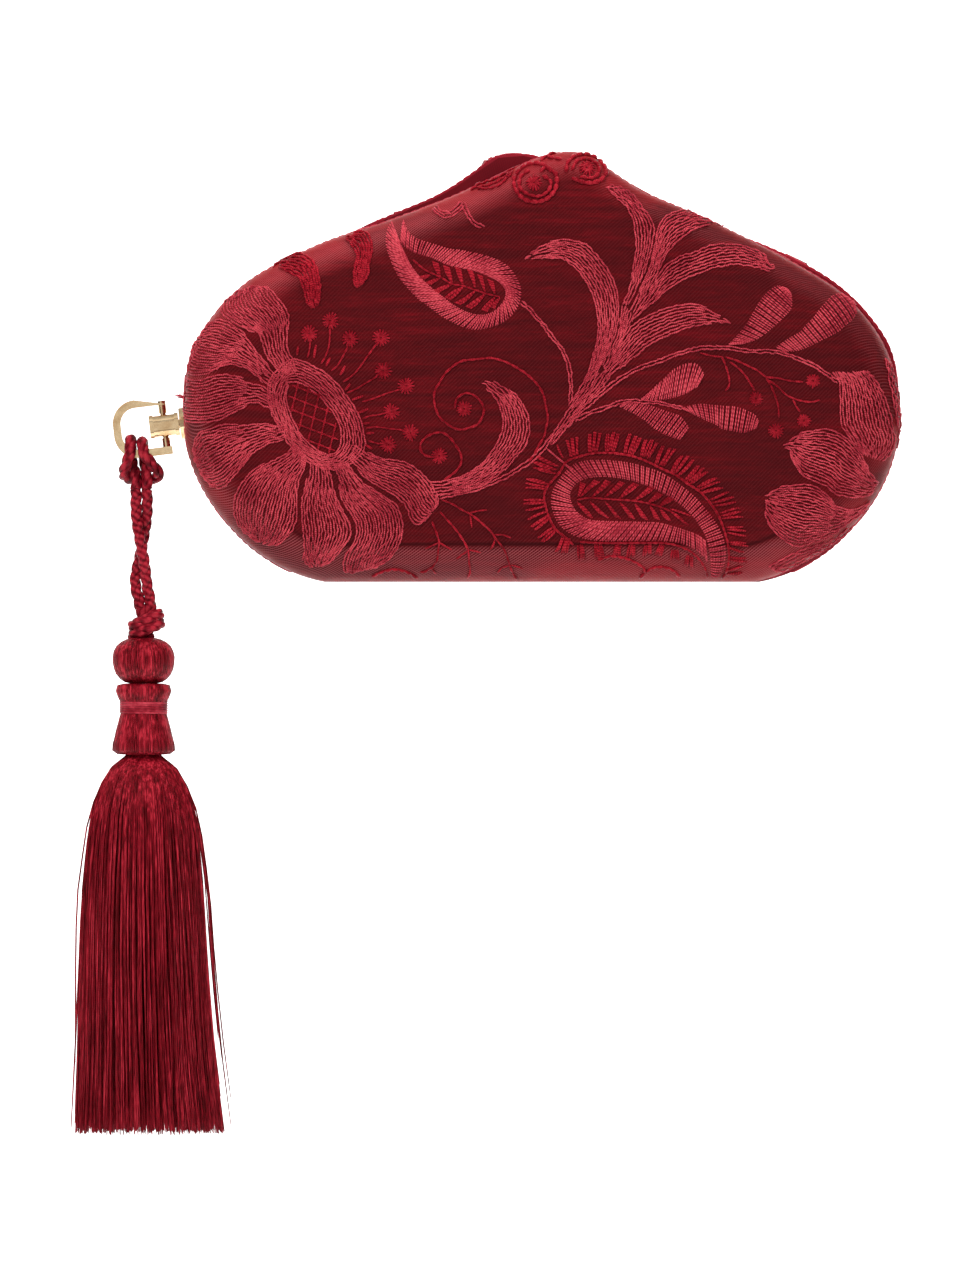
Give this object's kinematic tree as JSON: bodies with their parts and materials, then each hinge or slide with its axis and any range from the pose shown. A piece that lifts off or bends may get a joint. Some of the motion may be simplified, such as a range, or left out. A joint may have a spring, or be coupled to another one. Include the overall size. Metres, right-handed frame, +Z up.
{
  "type": "lace clutch",
  "caption": "Hard-shell evening clutch in two hinged halves, covered in satin and embroidered net, with a corded tassel on a swivel D-shackle.",
  "frame": {"origin": "where a hand holds the clutch from below: mid width, on the plane where the two halves meet, level with the flat base", "axes": "+X to the right seen from the front, +Y to the back, +Z up; the embroidered front faces -Y"},
  "size_m": [0.2324, 0.0535, 0.2716],
  "materials": {
    "embroidered_satin": "maroon moire satin under embroidered net",
    "rim_satin": "plain dark red satin",
    "hinge_metal": "satin",
    "pin_steel": "plain",
    "pale_gold": "polished pale gold plate",
    "silk_cord": "twisted silky cord",
    "silk_thread": "lustrous thread"
  },
  "bodies": {
    "back": {"back_shell": "embroidered_satin", "back_rim_facing": "rim_satin", "hinge_leaf_back": "hinge_metal", "hinge_pin": "pin_steel", "catch_magnet": "pin_steel", "swivel_flange": "pale_gold", "swivel_block": "pale_gold", "d_shackle": "pale_gold", "cord_strand_left": "silk_cord", "cord_hitch": "silk_cord", "cord_strand_right": "silk_cord", "cord_knot": "silk_cord", "tassel_ball": "silk_thread", "tassel_collar": "silk_thread", "collar_binding": "silk_thread", "tassel_skirt": "silk_thread"},
    "lid": {"front_shell": "embroidered_satin", "front_rim_facing": "rim_satin", "hinge_leaf_front": "hinge_metal"}
  },
  "joints": [
    {"name": "lid_hinge", "type": "hinge", "parent": "back", "child": "lid", "pos_m": [0, 0, 0.002], "axis": [1, 0, 0], "range_deg": [0, 80]}
  ]
}
